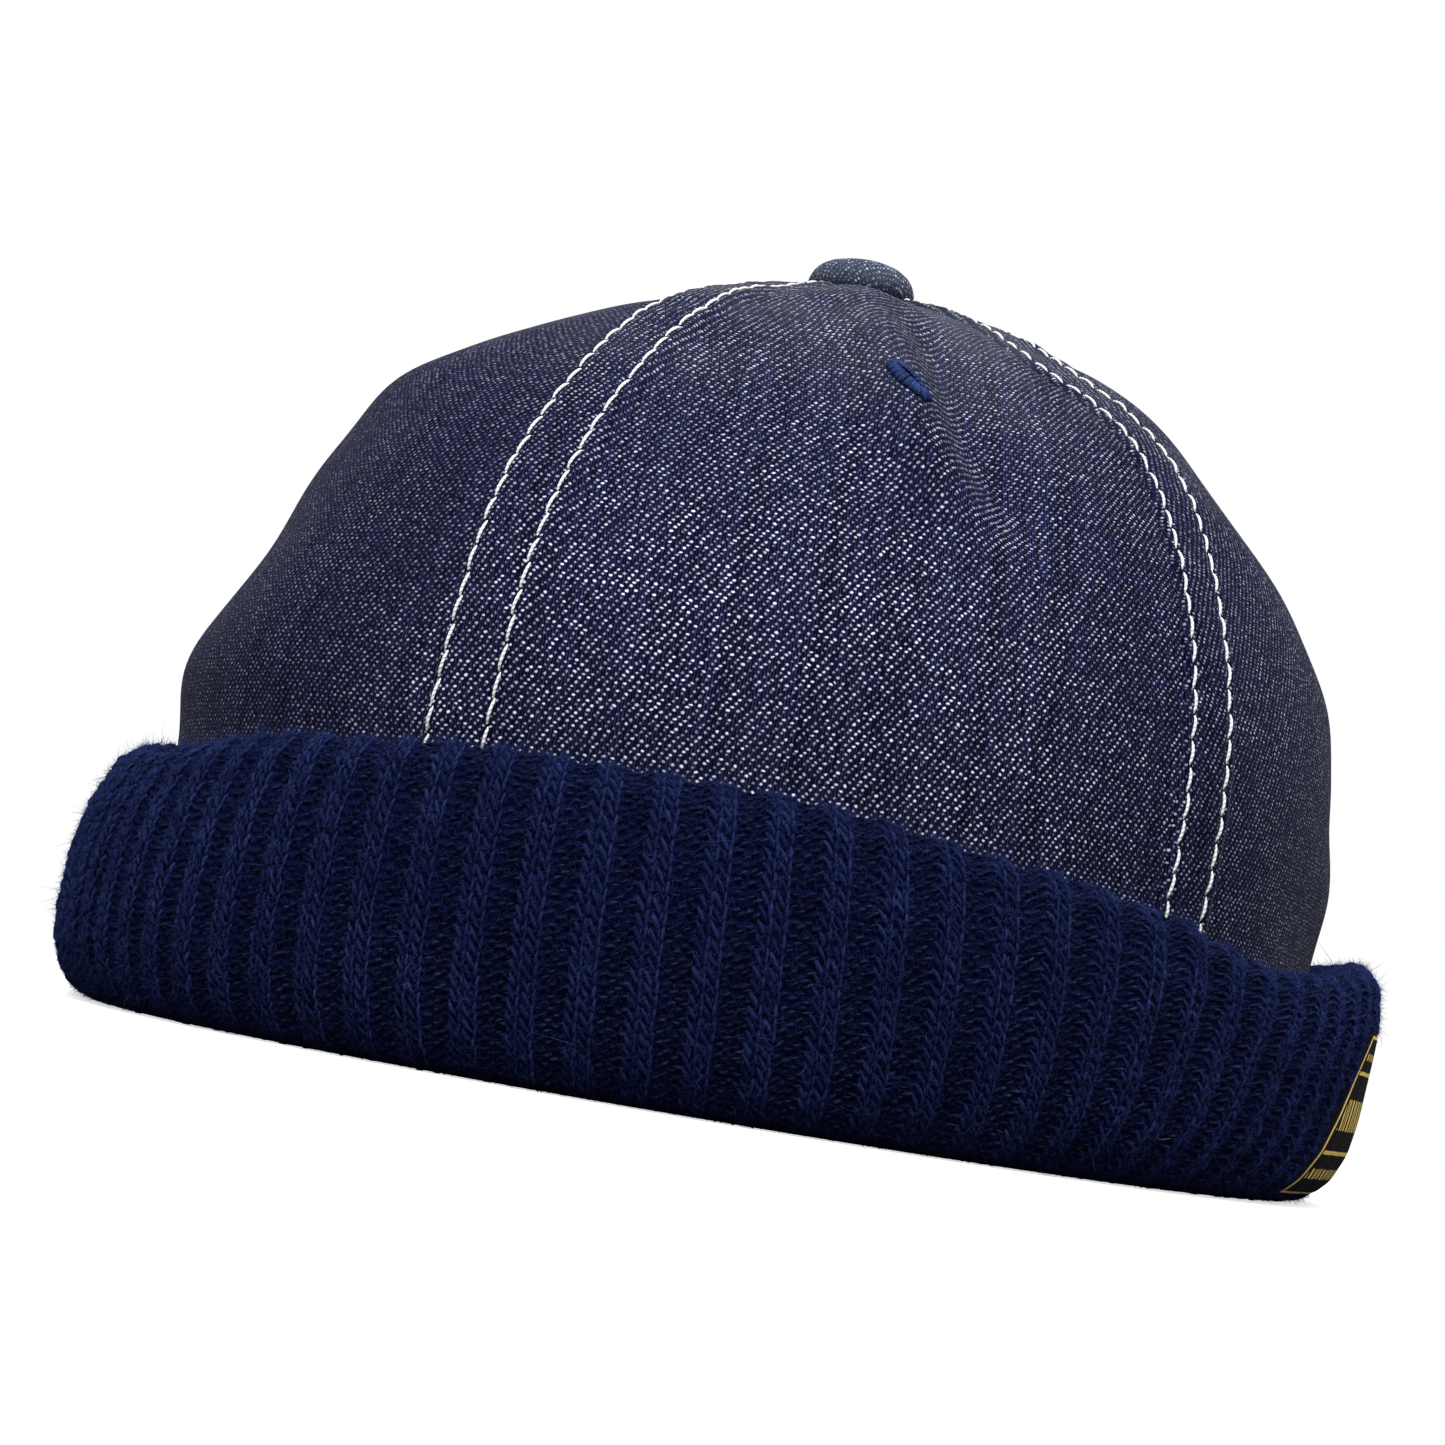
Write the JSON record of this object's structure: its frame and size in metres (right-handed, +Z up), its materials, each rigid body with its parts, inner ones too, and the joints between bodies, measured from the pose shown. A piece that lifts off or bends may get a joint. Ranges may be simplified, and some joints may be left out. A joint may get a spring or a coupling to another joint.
{
  "type": "fisherman cap",
  "caption": "Brimless fisherman cap: domed denim crown of lapped gores with a covered top button, over a turned-up ribbed knit cuff that rests on the head.",
  "frame": {"origin": "middle of the cap's outline on the plane that the cuff rests on", "axes": "+Z up through the crown, front of the cap towards -Y, the wearer's left towards +X"},
  "size_m": [0.2004, 0.2325, 0.1389],
  "materials": {
    "denim": "raw indigo twill with pale weft flecks",
    "eyelet_thread": "navy blue embroidery thread",
    "rib_knit": "dark navy two by two rib knit with a soft fibre halo",
    "woven_label": "plain black woven label with gold border lines"
  },
  "bodies": {
    "root": {"crown_panel_1": "denim", "crown_panel_2": "denim", "crown_panel_3": "denim", "crown_panel_4": "denim", "crown_panel_5": "denim", "crown_panel_6": "denim", "eyelet_1": "eyelet_thread", "eyelet_3": "eyelet_thread", "eyelet_5": "eyelet_thread", "top_button": "denim", "ribbed_cuff": "rib_knit", "side_label": "woven_label"}
  },
  "joints": []
}
